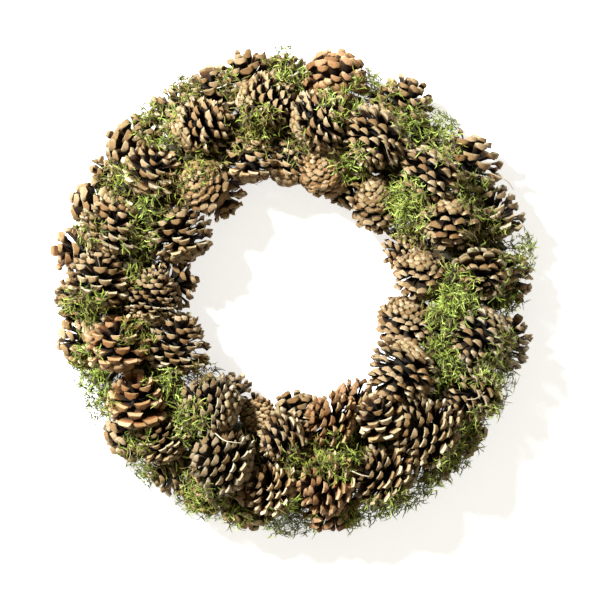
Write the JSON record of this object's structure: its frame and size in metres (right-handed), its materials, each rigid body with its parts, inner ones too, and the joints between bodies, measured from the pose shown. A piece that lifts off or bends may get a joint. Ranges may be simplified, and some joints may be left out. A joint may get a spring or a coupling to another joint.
{
  "type": "pinecone wreath",
  "caption": "Round decorative wreath of open pinecones and woodland moss on a wire-bound straw ring, lying flat on its back with its hole clear.",
  "frame": {"origin": "middle of the wreath's box seen from the front, on the flat surface that it lies on", "axes": "+Z out of the front of the wreath towards the viewer, +X to the right and +Y to the top as the picture shows it"},
  "size_m": [0.4568, 0.4556, 0.0983],
  "materials": {
    "pinecone": "dry open cone scales, pale tan tips and chestnut brown inner faces, matt",
    "moss": "dried woodland moss, yellow green to olive, soft and matt",
    "straw": "pressed straw, slightly glossy stalks",
    "wire": "thin dark green lacquered steel wire"
  },
  "bodies": {
    "root": {"binding_wire": "wire", "cone_front_01": "pinecone", "cone_front_02": "pinecone", "cone_front_03": "pinecone", "cone_front_04": "pinecone", "cone_front_05": "pinecone", "cone_front_06": "pinecone", "cone_front_07": "pinecone", "cone_front_08": "pinecone", "cone_front_09": "pinecone", "cone_front_10": "pinecone", "cone_front_11": "pinecone", "cone_front_12": "pinecone", "cone_front_13": "pinecone", "cone_front_14": "pinecone", "cone_front_15": "pinecone", "cone_front_16": "pinecone", "cone_front_17": "pinecone", "cone_front_18": "pinecone", "cone_front_19": "pinecone", "cone_front_20": "pinecone", "cone_inner_01": "pinecone", "cone_inner_02": "pinecone", "cone_inner_03": "pinecone", "cone_inner_05": "pinecone", "cone_inner_06": "pinecone", "cone_inner_07": "pinecone", "cone_inner_08": "pinecone", "cone_inner_09": "pinecone", "cone_inner_10": "pinecone", "cone_inner_11": "pinecone", "cone_inner_12": "pinecone", "cone_inner_13": "pinecone", "cone_inner_14": "pinecone", "cone_inner_15": "pinecone", "cone_inner_16": "pinecone", "cone_outer_01": "pinecone", "cone_outer_02": "pinecone", "cone_outer_03": "pinecone", "cone_outer_04": "pinecone", "cone_outer_05": "pinecone", "cone_outer_06": "pinecone", "cone_outer_08": "pinecone", "cone_outer_10": "pinecone", "cone_outer_11": "pinecone", "cone_outer_13": "pinecone", "cone_outer_15": "pinecone", "cone_outer_16": "pinecone", "cone_outer_17": "pinecone", "cone_outer_18": "pinecone", "cone_outer_22": "pinecone", "moss_1": "moss", "moss_2": "moss", "moss_3": "moss", "moss_4": "moss", "moss_5": "moss", "moss_6": "moss", "moss_7": "moss", "moss_8": "moss", "straw_ring": "straw"}
  },
  "joints": []
}
